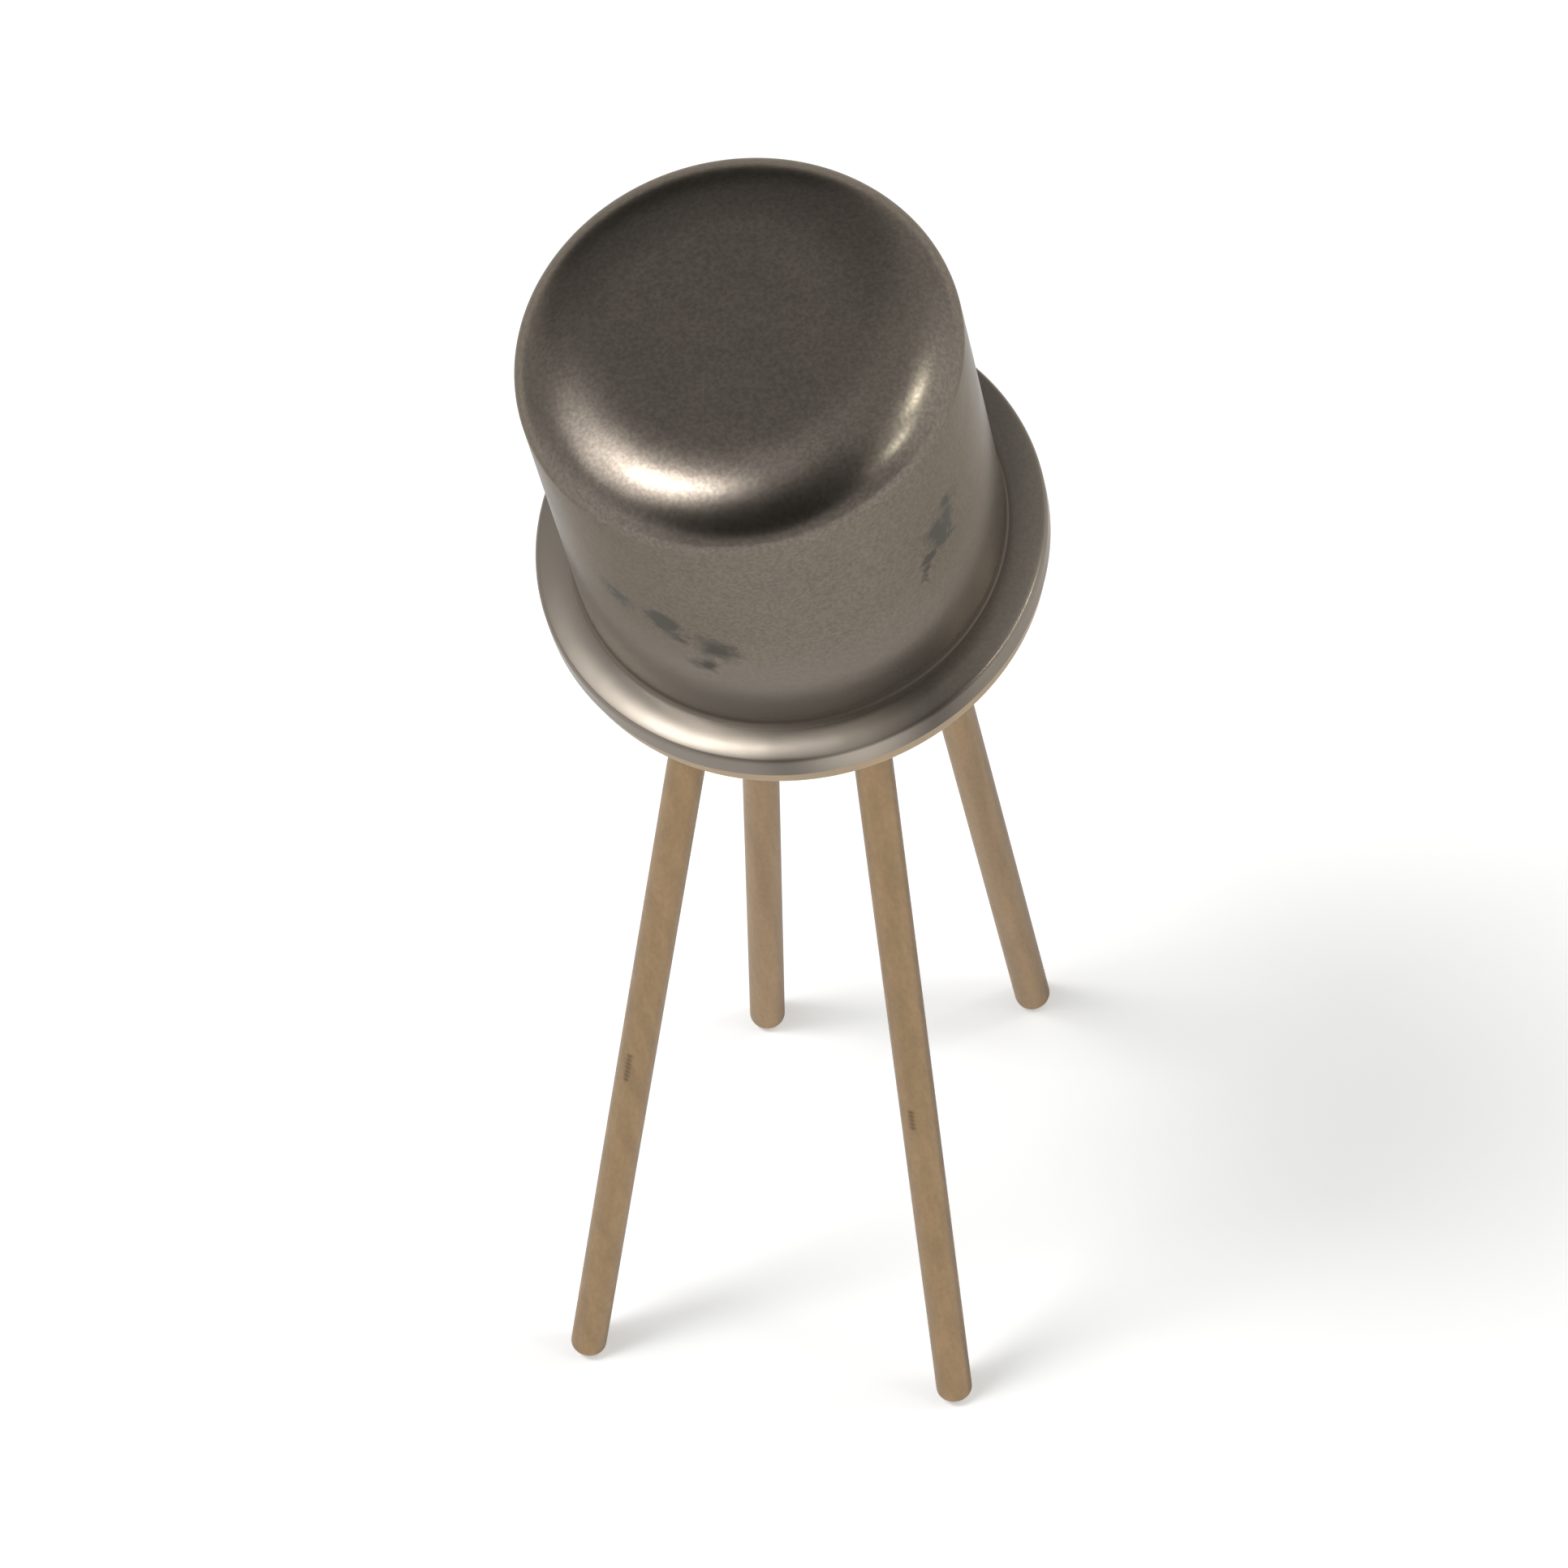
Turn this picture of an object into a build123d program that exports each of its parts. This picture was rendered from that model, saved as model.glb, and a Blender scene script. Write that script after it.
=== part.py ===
from build123d import *
import os
from math import cos, radians, sin, tan

# Dual-gate MOSFET in a four-lead metal can, standing on its leads.
# A drawn cap is welded to a header: a stamped eyelet filled with glass, through which the leads pass.
# Origin: centre of the seating plane, the underside of the header's flange. +Z runs up the can's axis.
# Sizes are in millimetres, angles in degrees, and headings turn from +X towards +Y.

# Lead circle and glass seal: the can's diameter follows from these and the walls round them
lead_count = 4
lead_circle = 2.54
lead_diameter = 0.43
seal_hole_diameter = 0.90
seal_margin = 0.13
seal_gap = 0.004

# Header eyelet
eyelet_wall = 0.25
header_clearance = 0.03
header_flange_thickness = 0.25
header_flange_inset = 0.05
deck_height = 1.10
deck_corner_radius = 0.18
deck_foot_chamfer = 0.08
eyelet_mouth_chamfer = 0.08
header_edge_chamfer = 0.04

# Index tab
tab_heading = 59.0
tab_width = 1.04
tab_length = 0.95
tab_corner_radius = 0.15
tab_root_radius = 0.10

# Cap
can_height = 4.85
cap_wall = 0.22
cap_flange_width = 0.43
cap_flange_thickness = 0.29
cap_flange_slope = 13.0
shoulder_reach = 1.05
shoulder_drop = 0.50
foot_radius = 0.18
rim_radius = 0.16
cap_mouth_chamfer = 0.25

# Leads
stand_height = 13.40
lead_bend_depth = 0.82
lead_bend_radius = 1.20
lead_tip_chamfer = 0.06
post_height = 0.35

# Each lead's name in pin order, and the lean and heading of its leg below the bend
leads = [
    ("drain", 7.5, 170.0),
    ("gate_2", 18.8, 204.8),
    ("gate_1", 13.8, 245.2),
    ("source", 2.1, 85.0),
]
case_lead = "source"

# Die and its attachment
die_side = 0.70
die_thickness = 0.20
attach_margin = 0.07
attach_thickness = 0.03
pad_offset = 0.20

# Bond wires
bond_wire_diameter = 0.05
bond_ball_diameter = 0.12
bond_ball_height = 0.04
bond_loop_rise = 0.30
bond_drop = 0.12

# Radii, from the lead circle outwards
lead_radius = lead_diameter / 2
lead_ring = lead_circle / 2
seal_hole_radius = seal_hole_diameter / 2
cavity_radius = lead_ring + seal_hole_radius + seal_margin
deck_radius = cavity_radius + eyelet_wall
cap_bore_radius = deck_radius + header_clearance
can_radius = cap_bore_radius + cap_wall
crown_flat_radius = can_radius - shoulder_reach
cap_flange_radius = can_radius + cap_flange_width
header_flange_radius = cap_flange_radius - header_flange_inset
tab_end = header_flange_radius + tab_length

# Levels, from the seating plane upwards
seam_level = header_flange_thickness
rim_level = seam_level + cap_flange_thickness
foot_level = rim_level + cap_flange_width * tan(radians(cap_flange_slope))
wall_top = can_height - shoulder_drop
crown_inside = can_height - cap_wall
cavity_level = deck_height - eyelet_wall
die_level = deck_height + attach_thickness
pad_level = die_level + die_thickness
post_level = deck_height + post_height

# Headings of the leads, counted from the index tab
lead_step = 360 / lead_count
first_lead_heading = tab_heading + lead_step / 2
case_lead_index = [name for name, lean, heading in leads].index(case_lead)
insulated_count = lead_count - 1
insulated_start = first_lead_heading + (case_lead_index + 1) * lead_step
insulated_range = insulated_count * lead_step


def on_heading(distance, heading, height):
    """Point at a distance from the axis, on a heading and at a height."""
    return Vector(distance * cos(radians(heading)), distance * sin(radians(heading)), height)


def lead_tip(bend, lean, heading):
    """Centre of a lead's cut end, placed so that its lowest edge just reaches the standing surface."""
    slope = radians(lean)
    tip_drop = (lead_radius - lead_tip_chamfer) * sin(slope)
    leg_length = (bend.Z + stand_height - tip_drop) / cos(slope)
    return bend + on_heading(leg_length * sin(slope), heading, -leg_length * cos(slope))


os.makedirs("parts", exist_ok=True)

# Cap: one drawn sheet whose crown runs into the wall by a flat, elliptical shoulder. The wall turns out at its
# foot into the welding flange, whose upper face slopes down to the rim.
with BuildPart() as cap:
    with BuildSketch(Plane.XZ):
        with BuildLine():
            Line((0, can_height), (crown_flat_radius, can_height))
            EllipticalCenterArc((crown_flat_radius, wall_top), shoulder_reach, shoulder_drop, arc_size=90)
            FilletPolyline(
                (can_radius, wall_top),
                (can_radius, foot_level),
                (cap_flange_radius, rim_level),
                (cap_flange_radius, seam_level),
                radius=[foot_radius, rim_radius],
            )
            Polyline(
                (cap_flange_radius, seam_level),
                (cap_bore_radius + cap_mouth_chamfer, seam_level),
                (cap_bore_radius, seam_level + cap_mouth_chamfer),
                (cap_bore_radius, wall_top),
            )
            EllipticalCenterArc(
                (crown_flat_radius, wall_top),
                cap_bore_radius - crown_flat_radius,
                crown_inside - wall_top,
                arc_size=90,
            )
            Polyline((crown_flat_radius, crown_inside), (0, crown_inside), (0, can_height))
        make_face()
    revolve(axis=Axis.Z)
cap.part.label = "cap"
export_step(cap.part, "parts/cap.step")

# Header eyelet: a drawn cup turned mouth down, with its flange, index tab and the holes of its deck
with BuildPart() as header_eyelet:
    with BuildSketch(Plane.XY.rotated((0, 0, tab_heading))) as flange_outline:
        Circle(header_flange_radius)
        with Locations((tab_end / 2, 0)):
            Rectangle(tab_end, tab_width)
        fillet(flange_outline.vertices().sort_by(Axis.X)[-2:], tab_corner_radius)
        fillet(flange_outline.vertices().sort_by(Axis.X)[:2], tab_root_radius)
    extrude(amount=header_flange_thickness)
    chamfer(header_eyelet.faces().filter_by(Axis.Z).edges(), header_edge_chamfer)
    with BuildSketch(Plane.XZ):
        with BuildLine():
            FilletPolyline(
                (0, deck_height),
                (deck_radius, deck_height),
                (deck_radius, header_flange_thickness + deck_foot_chamfer),
                (deck_radius + deck_foot_chamfer, header_flange_thickness),
                (deck_radius + deck_foot_chamfer, 0),
                (0, 0),
                radius=[deck_corner_radius, 0, 0, 0],
            )
            Line((0, 0), (0, deck_height))
        make_face()
    revolve(axis=Axis.Z)
    with BuildSketch(Plane.XZ):
        with BuildLine():
            Polyline(
                (0, 0),
                (cavity_radius + eyelet_mouth_chamfer, 0),
                (cavity_radius, eyelet_mouth_chamfer),
                (cavity_radius, cavity_level),
                (0, cavity_level),
                close=True,
            )
        make_face()
    revolve(axis=Axis.Z, mode=Mode.SUBTRACT)
    with BuildSketch(Plane.XY.offset(cavity_level)):
        with PolarLocations(lead_ring, insulated_count, insulated_start, insulated_range):
            Circle(seal_hole_radius)
    extrude(amount=eyelet_wall, mode=Mode.SUBTRACT)
header_eyelet.part.label = "header_eyelet"
export_step(header_eyelet.part, "parts/header_eyelet.step")

# Glass seal: fills the eyelet from below and rises round each insulated lead to the top of the deck
with BuildPart() as glass_seal:
    with BuildSketch(Plane.XY):
        Circle(cavity_radius - seal_gap)
    extrude(amount=cavity_level - seal_gap)
    with BuildSketch(Plane.XY.offset(cavity_level / 2)):
        with PolarLocations(lead_ring, insulated_count, insulated_start, insulated_range):
            Circle(seal_hole_radius - seal_gap)
    extrude(amount=deck_height - cavity_level / 2)
    with BuildSketch(Plane.XY):
        with PolarLocations(lead_ring, lead_count, first_lead_heading):
            Circle(lead_radius + seal_gap)
    extrude(amount=deck_height, mode=Mode.SUBTRACT)
glass_seal.part.label = "glass_seal"
export_step(glass_seal.part, "parts/glass_seal.step")

# Leads: wires that leave the header straight, then bend outwards into legs that share one standing level
for index, (name, lean, heading) in enumerate(leads):
    exit_heading = first_lead_heading + index * lead_step
    top_level = cavity_level if name == case_lead else post_level
    top = on_heading(lead_ring, exit_heading, top_level)
    bend = on_heading(lead_ring, exit_heading, -lead_bend_depth)
    with BuildPart() as lead:
        with BuildLine():
            FilletPolyline(top, bend, lead_tip(bend, lean, heading), radius=lead_bend_radius)
        with BuildSketch(Plane(origin=top, z_dir=(0, 0, -1))):
            Circle(lead_radius)
        sweep()
        chamfer(lead.edges().sort_by(Axis.Z)[0], lead_tip_chamfer)
    lead.part.label = f"lead_{name}"
    export_step(lead.part, f"parts/lead_{name}.step")

# Die attachment: a thin eutectic layer between the deck and the die
with BuildPart() as die_attach:
    with BuildSketch(Plane.XY.offset(deck_height).rotated((0, 0, first_lead_heading))):
        RectangleRounded(die_side + 2 * attach_margin, die_side + 2 * attach_margin, attach_margin)
    extrude(amount=attach_thickness)
die_attach.part.label = "die_attach"
export_step(die_attach.part, "parts/die_attach.step")

# Die: a square silicon chip, turned so that its sides face the leads
with BuildPart() as die:
    with BuildSketch(Plane.XY.offset(die_level).rotated((0, 0, first_lead_heading))):
        Rectangle(die_side, die_side)
    extrude(amount=die_thickness)
die.part.label = "die"
export_step(die.part, "parts/die.step")

# Bond wires: each rises from a ball on its pad and slopes down to its post or, for the source, to the deck
for index, (name, lean, heading) in enumerate(leads):
    exit_heading = first_lead_heading + index * lead_step
    landing_level = deck_height if name == case_lead else post_level
    loop_level = post_level + bond_loop_rise
    pad = on_heading(pad_offset, exit_heading, pad_level)
    with BuildPart() as bond_wire:
        with BuildSketch(Plane(origin=pad)):
            Circle(bond_ball_diameter / 2)
        extrude(amount=bond_ball_height)
        with BuildLine():
            Polyline(
                pad,
                on_heading(pad_offset, exit_heading, loop_level),
                on_heading(lead_ring, exit_heading, landing_level + bond_drop),
                on_heading(lead_ring, exit_heading, landing_level),
            )
        with BuildSketch(Plane(origin=pad)):
            Circle(bond_wire_diameter / 2)
        sweep(transition=Transition.RIGHT)
    bond_wire.part.label = f"bond_wire_{name}"
    export_step(bond_wire.part, f"parts/bond_wire_{name}.step")
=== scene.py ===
import math

import bpy
from mathutils import Matrix, Vector
from mathutils.geometry import delaunay_2d_cdt


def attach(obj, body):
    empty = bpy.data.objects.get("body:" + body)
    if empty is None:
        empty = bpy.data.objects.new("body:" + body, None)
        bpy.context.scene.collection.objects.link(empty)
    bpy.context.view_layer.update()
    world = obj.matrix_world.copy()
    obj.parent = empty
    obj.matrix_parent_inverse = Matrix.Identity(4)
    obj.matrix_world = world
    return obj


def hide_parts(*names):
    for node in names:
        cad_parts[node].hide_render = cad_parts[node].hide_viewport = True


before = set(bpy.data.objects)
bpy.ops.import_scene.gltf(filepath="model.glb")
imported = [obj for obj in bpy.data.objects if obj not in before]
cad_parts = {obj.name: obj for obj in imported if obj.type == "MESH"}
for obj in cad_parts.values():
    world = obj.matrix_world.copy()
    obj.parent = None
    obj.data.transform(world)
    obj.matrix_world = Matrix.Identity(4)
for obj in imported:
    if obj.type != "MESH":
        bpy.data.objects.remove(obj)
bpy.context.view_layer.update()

# Dual-gate MOSFET in a four-lead metal can, standing on its leads.
# The frame is the solids' own: origin at the seating plane under the header's flange, +Z up the can.
# Lengths are in millimetres unless a comment says metres, and headings turn from +X towards +Y.
MM = 0.001
TURN = 2 * math.pi

# Can
CAN_R = 2.35
CAN_H = 4.85
WALL = 0.22
SHOULDER_REACH = 1.05
SHOULDER_DROP = 0.50
BORE_R = 2.13
CROWN_INSIDE = 4.63
CAP_MOUTH = 0.25
CAN_SEGMENTS = 288
CAN_STEP = 0.35

# Can's flange: its upper face is an arch whose top is at the wall
FLANGE_R = 2.78
SEAM_Z = 0.25
ARCH_TOP = 0.63
ARCH_R = 1.20
FOOT_R = 0.03
RIM_ROUND = 0.06
SEAM_ROUND = 0.03

# Header
HEADER_R = 2.73
HEADER_EDGE = 0.06
DECK_R = 2.10
DECK_Z = 1.10
DECK_ROUND = 0.18
DECK_FOOT_ROUND = 0.08
CAVITY_R = 1.85
CAVITY_Z = 0.85
CAVITY_ROUND = 0.10
HEADER_MOUTH = 0.10
EDGE_PARTS = 6

# Profile points nearer the axis than these give way to a flat plate with holes
DECK_FLAT_R = 1.9
CAVITY_FLAT_R = 1.7

# Index tab
TAB_HEADING = 59.0
TAB_W = 1.04
TAB_END = 3.68
TAB_CORNER = 0.15
TAB_ROOT = 0.10

# Leads: name, lean and heading of the leg below the bend, in the pins' order
LEADS = [
    ("drain", 7.5, 170.0),
    ("gate_2", 18.8, 204.8),
    ("gate_1", 13.8, 245.2),
    ("source", 2.1, 85.0),
]
CASE_LEAD = "source"
FIRST_HEADING = 104.0
LEAD_R = 0.215
LEAD_RING = 1.27
POST_Z = 1.45
POST_ROUND = 0.03
BEND_Z = -0.82
BEND_R = 1.20
STAND_Z = -13.40
TIP_ROUND = 0.11
LEAD_SEGMENTS = 56
LEAD_STEP = 0.4
BEND_STEP = 1.5
POST_PARTS = 4
TIP_PARTS = 10
DOWN = Vector((0, 0, -1))

# Glass and the holes that it fills
SEAL_R = 0.45
GLASS_GAP = 0.004
HOLE_SEGMENTS = 40
GLASS_SEGMENTS = 48
GLASS_RIM_SEGMENTS = 180

# Glass's lower face: its level at the wall and its rise to the middle, and how far it is drawn down the wall
# and down each lead, with the distance over which that fades
GLASS_LEVEL = 0.10
GLASS_RISE = 0.02
WALL_DRAW = 0.09
WALL_FADE = 0.10
LEAD_DRAW = 0.20
LEAD_FADE = 0.11

# Points over that face: rows inwards from the wall, and rings round each bore at these distances from it
GLASS_ROWS = 16
ROW_SPREAD = 1.5
ROW_POINTS = 150
MIDDLE_ROW_R = 0.02
ROWS_OFF_LEAD = 0.20
LEAD_RINGS = (0.015, 0.035, 0.06, 0.09, 0.13, 0.17)
RINGS_OFF_WALL = 0.01


# Meshes

def make_piece(name, points, faces, stands_for, sharp=32.0):
    """Mesh piece from points in millimetres, smooth but for its sharp edges, standing for a solid."""
    mesh = bpy.data.meshes.new(name)
    mesh.from_pydata([[c * MM for c in p] for p in points], [], faces)
    mesh.validate()
    mesh.update()
    mesh.shade_smooth()
    mesh.set_sharp_from_angle(angle=math.radians(sharp))
    piece = bpy.data.objects.new(name, mesh)
    bpy.context.scene.collection.objects.link(piece)
    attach(piece, "root")
    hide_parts(stands_for)
    return piece


def turned(x, y, angle):
    """Flat place turned counter-clockwise by an angle."""
    c, s = math.cos(angle), math.sin(angle)
    return x * c - y * s, x * s + y * c


def rounded(corners, step=5.0, guard=0.02):
    """Points along a path whose corners (x, y, radius) are rounded, with a guard point beside each arc."""
    points = []
    for i, (x, y, radius) in enumerate(corners):
        here = Vector((x, y))
        if not radius:
            points.append(here)
            continue
        before = (Vector(corners[i - 1][:2]) - here).normalized()
        after = (Vector(corners[(i + 1) % len(corners)][:2]) - here).normalized()
        opening = before.angle(after)
        reach = radius / math.tan(opening / 2)
        centre = here + (before + after).normalized() * (radius / math.sin(opening / 2))
        start, end = here + before * reach, here + after * reach
        swept = math.pi - opening
        count = max(2, round(math.degrees(swept) / step))
        spoke = start - centre
        sense = 1 if spoke.x * (end - centre).y - spoke.y * (end - centre).x > 0 else -1
        points.append(start + before * guard)
        for k in range(count + 1):
            points.append(centre + Vector(turned(spoke.x, spoke.y, sense * swept * k / count)))
        points.append(end + after * guard)
    return points


def divided(points, longest):
    """The same closed path with its long runs cut into even parts."""
    made = []
    for i, p in enumerate(points):
        q = points[(i + 1) % len(points)]
        count = max(1, math.ceil((q - p).length / longest))
        made += [p + (q - p) * (k / count) for k in range(count)]
    return made


def add_ring(points, ring):
    """Adds points and gives back their numbers."""
    start = len(points)
    points += [tuple(p) for p in ring]
    return list(range(start, len(points)))


def bridge(upper, lower):
    """Faces between two rings of points that run the same way, where either may be a single point."""
    faces = []
    count = max(len(upper), len(lower))
    if count == 1:
        return faces
    for k in range(count):
        n = (k + 1) % count
        quad = [upper[k % len(upper)], lower[k % len(lower)], lower[n % len(lower)], upper[n % len(upper)]]
        faces.append([v for i, v in enumerate(quad) if v != quad[i - 1]])
    return faces


def filled(loops, spread=()):
    """Triangles over a flat area, where the given points' numbers run through the loops and then the spread.
    Gives back the made points' places, the triangles, and which given points each made point stands for."""
    edges, start = [], 0
    for loop in loops:
        edges += [(start + k, start + (k + 1) % len(loop)) for k in range(len(loop))]
        start += len(loop)
    flat = [Vector(p[:2]) for loop in loops for p in loop] + list(spread)
    places, _, tris, origin, _, _ = delaunay_2d_cdt(flat, edges, [], 2, 1e-7)
    return places, tris, origin


def lathe(profile, segments):
    """Points and faces of a solid turned round Z from an (r, z) path that starts and ends on the axis."""
    points, faces, rings = [], [], []
    for r, z in profile:
        if r < 1e-6:
            rings.append(add_ring(points, [(0, 0, z)]))
            continue
        angles = [TURN * k / segments for k in range(segments)]
        rings.append(add_ring(points, [(r * math.cos(a), r * math.sin(a), z) for a in angles]))
    for upper, lower in zip(rings, rings[1:]):
        faces += bridge(upper, lower)
    return points, faces


def shoulder(radius, top, reach, drop, step=3.0):
    """Quarter of an ellipse from the crown's flat to the wall, in even steps of the surface's tilt."""
    points = []
    for k in range(round(90 / step) + 1):
        tilt = math.radians(k * step)
        size = math.hypot(reach * math.sin(tilt), drop * math.cos(tilt))
        points.append(Vector((radius - reach + reach ** 2 * math.sin(tilt) / size,
                              top - drop + drop ** 2 * math.cos(tilt) / size)))
    return points


def arc(centre, radius, start, end, step=4.0):
    """Points of an arc from one tilt to another, where a tilt is counted from +Z outwards."""
    count = max(2, round(abs(math.degrees(end - start)) / step))
    tilts = [start + (end - start) * k / count for k in range(count + 1)]
    return [centre + radius * Vector((math.sin(t), math.cos(t))) for t in tilts]


def flange_top():
    """Foot of the wall, the flange's gently arched upper face and its rounded rim, from the wall outwards."""
    arch = Vector((CAN_R, ARCH_TOP - ARCH_R))
    foot_tilt = math.asin(FOOT_R / (ARCH_R + FOOT_R))
    foot = arch + (ARCH_R + FOOT_R) * Vector((math.sin(foot_tilt), math.cos(foot_tilt)))
    rim_tilt = math.asin((FLANGE_R - RIM_ROUND - CAN_R) / (ARCH_R - RIM_ROUND))
    rim = arch + (ARCH_R - RIM_ROUND) * Vector((math.sin(rim_tilt), math.cos(rim_tilt)))
    fillet = arc(foot, FOOT_R, -math.pi / 2, -math.pi + foot_tilt, 6.0)
    face = arc(arch, ARCH_R, foot_tilt, rim_tilt, 1.5)
    edge = arc(rim, RIM_ROUND, rim_tilt, math.pi / 2, 6.0)
    return fillet + face[1:] + edge[1:]


def can_mouth(bore_top):
    """Rim's lower edge, the seam's face and the widened mouth, up to just under the top of the bore."""
    above_rim = 0.1
    below_top = 0.02
    return rounded([
        (FLANGE_R, SEAM_Z + above_rim, 0),
        (FLANGE_R, SEAM_Z, SEAM_ROUND),
        (BORE_R + CAP_MOUTH, SEAM_Z, 0),
        (BORE_R, SEAM_Z + CAP_MOUTH, 0),
        (BORE_R, bore_top - below_top, 0),
    ], step=10.0)[1:]


def build_can():
    """Drawn can: shoulder, wall and flange outside, and the bore with its widened mouth inside."""
    outer = shoulder(CAN_R, CAN_H, SHOULDER_REACH, SHOULDER_DROP)
    inner = shoulder(BORE_R, CROWN_INSIDE, SHOULDER_REACH - WALL, SHOULDER_DROP - WALL, 6.0)
    outside = [Vector((0, CAN_H))] + outer + flange_top()
    inside = can_mouth(inner[-1].y) + inner[::-1] + [Vector((0, CROWN_INSIDE))]
    path = divided(outside + inside, CAN_STEP)
    end = next(i for i, p in enumerate(path) if p.x < 1e-6 and p.y < CAN_H - 0.01)
    points, faces = lathe(path[:end + 1], CAN_SEGMENTS)
    return make_piece("can_shell", points, faces, "cap")


def header_outline():
    """Flange and tab from above in the tab's own frame, counter-clockwise from the middle of the tab's end.
    Each point is (x, y, angle of the outward normal)."""
    half = TAB_W / 2
    root_x = math.sqrt((HEADER_R + TAB_ROOT) ** 2 - (half + TAB_ROOT) ** 2)
    root_a = math.atan2(half + TAB_ROOT, root_x)
    corner_x, corner_y = TAB_END - TAB_CORNER, half - TAB_CORNER
    end_parts = 4
    corner_parts = 12
    side_parts = 8
    root_parts = 10
    round_parts = 110
    line = []
    for k in range(end_parts + 1):
        line.append((TAB_END, corner_y * k / end_parts, 0.0))
    for k in range(1, corner_parts + 1):
        a = math.pi / 2 * k / corner_parts
        line.append((corner_x + TAB_CORNER * math.cos(a), corner_y + TAB_CORNER * math.sin(a), a))
    for k in range(1, side_parts):
        line.append((corner_x + (root_x - corner_x) * k / side_parts, half, math.pi / 2))
    for k in range(root_parts + 1):
        a = math.pi / 2 + (root_a - math.pi / 2) * k / root_parts
        line.append((root_x - TAB_ROOT * math.cos(a), half + TAB_ROOT - TAB_ROOT * math.sin(a), a))
    for k in range(1, round_parts + 1):
        a = root_a + (math.pi - root_a) * k / round_parts
        line.append((HEADER_R * math.cos(a), HEADER_R * math.sin(a), a))
    other = [(x, -y, -a) for x, y, a in reversed(line[1:-1])]
    return line + other


def flange_ring(outline, inset, z):
    """Outline of the header's flange pulled in by an inset, turned to the tab's heading, at a level."""
    ring = []
    for x, y, a in outline:
        at = turned(x - inset * math.cos(a), y - inset * math.sin(a), math.radians(TAB_HEADING))
        ring.append((*at, z))
    return ring


def round_ring(headings, r, z):
    """Circle of points round the axis, one on each heading."""
    return [(r * math.cos(h), r * math.sin(h), z) for h in headings]


def header_outside(outline, headings):
    """Rings from the flange's lower face round its edge, over its top and up the wall to the deck."""
    rings = []
    quarter = [math.pi / 2 * k / EDGE_PARTS for k in range(EDGE_PARTS + 1)]
    for a in quarter:
        rings.append(flange_ring(outline, HEADER_EDGE * (1 - math.sin(a)), HEADER_EDGE * (1 - math.cos(a))))
    for a in quarter:
        z = SEAM_Z - HEADER_EDGE * (1 - math.sin(a))
        rings.append(flange_ring(outline, HEADER_EDGE * (1 - math.cos(a)), z))
    beyond_wall = 0.4
    wall = rounded([
        (DECK_R + beyond_wall, SEAM_Z, 0),
        (DECK_R, SEAM_Z, DECK_FOOT_ROUND),
        (DECK_R, DECK_Z, DECK_ROUND),
        (SEAL_R, DECK_Z, 0),
        (0, DECK_Z, 0),
    ], step=7.5)
    return rings + [round_ring(headings, r, z) for r, z in wall[1:] if r > DECK_FLAT_R]


def header_inside(headings):
    """Rings of the eyelet's cavity, from its ceiling down to its mouth."""
    cavity = rounded([
        (0, CAVITY_Z, 0),
        (CAVITY_R, CAVITY_Z, CAVITY_ROUND),
        (CAVITY_R, 0, HEADER_MOUTH),
        (HEADER_R, 0, 0),
    ], step=7.5)
    return [round_ring(headings, r, z) for r, z in cavity[1:-2] if r > CAVITY_FLAT_R]


def build_header():
    """Stamped eyelet: flange with its index tab, wall, deck with the seals' holes, and the cavity."""
    outline = header_outline()
    headings = [math.atan2(y, x) + math.radians(TAB_HEADING) for x, y, a in outline]
    points, faces = [], []
    outside = [add_ring(points, ring) for ring in header_outside(outline, headings)]
    inside = [add_ring(points, ring) for ring in header_inside(headings)]
    for rings in (outside, inside):
        for a, b in zip(rings, rings[1:]):
            faces += bridge(b, a)
    faces += bridge(outside[0], inside[-1])
    deck_holes = plate_with_holes(points, faces, outside[-1], DECK_Z, up=True)
    cavity_holes = plate_with_holes(points, faces, inside[0], CAVITY_Z, up=False)
    for deck_hole, cavity_hole in zip(deck_holes, cavity_holes):
        faces += bridge(cavity_hole, deck_hole)
    return make_piece("header_shell", points, faces, "header_eyelet")


def lead_headings():
    """Headings on which the leads leave the header, in radians and in the pins' order."""
    return [math.radians(FIRST_HEADING + 90 * i) for i in range(len(LEADS))]


def insulated_headings():
    """Headings of the leads that pass through the deck in glass."""
    return [h for h, lead in zip(lead_headings(), LEADS) if lead[0] != CASE_LEAD]


def case_heading():
    """Heading of the lead that ends against the deck."""
    return next(h for h, lead in zip(lead_headings(), LEADS) if lead[0] == CASE_LEAD)


def from_lead(x, y, heading):
    """Distance of a place from the centre of the lead on a heading."""
    return math.hypot(x - LEAD_RING * math.cos(heading), y - LEAD_RING * math.sin(heading))


def hole_ring(heading, radius, z, count):
    """Circle of points round the lead on a heading."""
    cx, cy = LEAD_RING * math.cos(heading), LEAD_RING * math.sin(heading)
    return [(cx + radius * math.cos(TURN * k / count), cy + radius * math.sin(TURN * k / count), z)
            for k in range(count)]


def plate_with_holes(points, faces, border, z, up):
    """Flat plate inside a ring of points that is already there, with a round hole for each insulated lead."""
    holes = [add_ring(points, hole_ring(h, SEAL_R, z, HOLE_SEGMENTS)) for h in insulated_headings()]
    loops = [border] + holes
    numbers = [i for loop in loops for i in loop]
    _, tris, origin = filled([[points[i] for i in loop] for loop in loops])
    for tri in tris:
        made = [numbers[origin[v][0]] for v in tri]
        a, b, c = (points[i] for i in made)
        turning = (b[0] - a[0]) * (c[1] - a[1]) - (b[1] - a[1]) * (c[0] - a[0])
        faces.append(made if (turning > 0) == up else made[::-1])
    return holes


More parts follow.
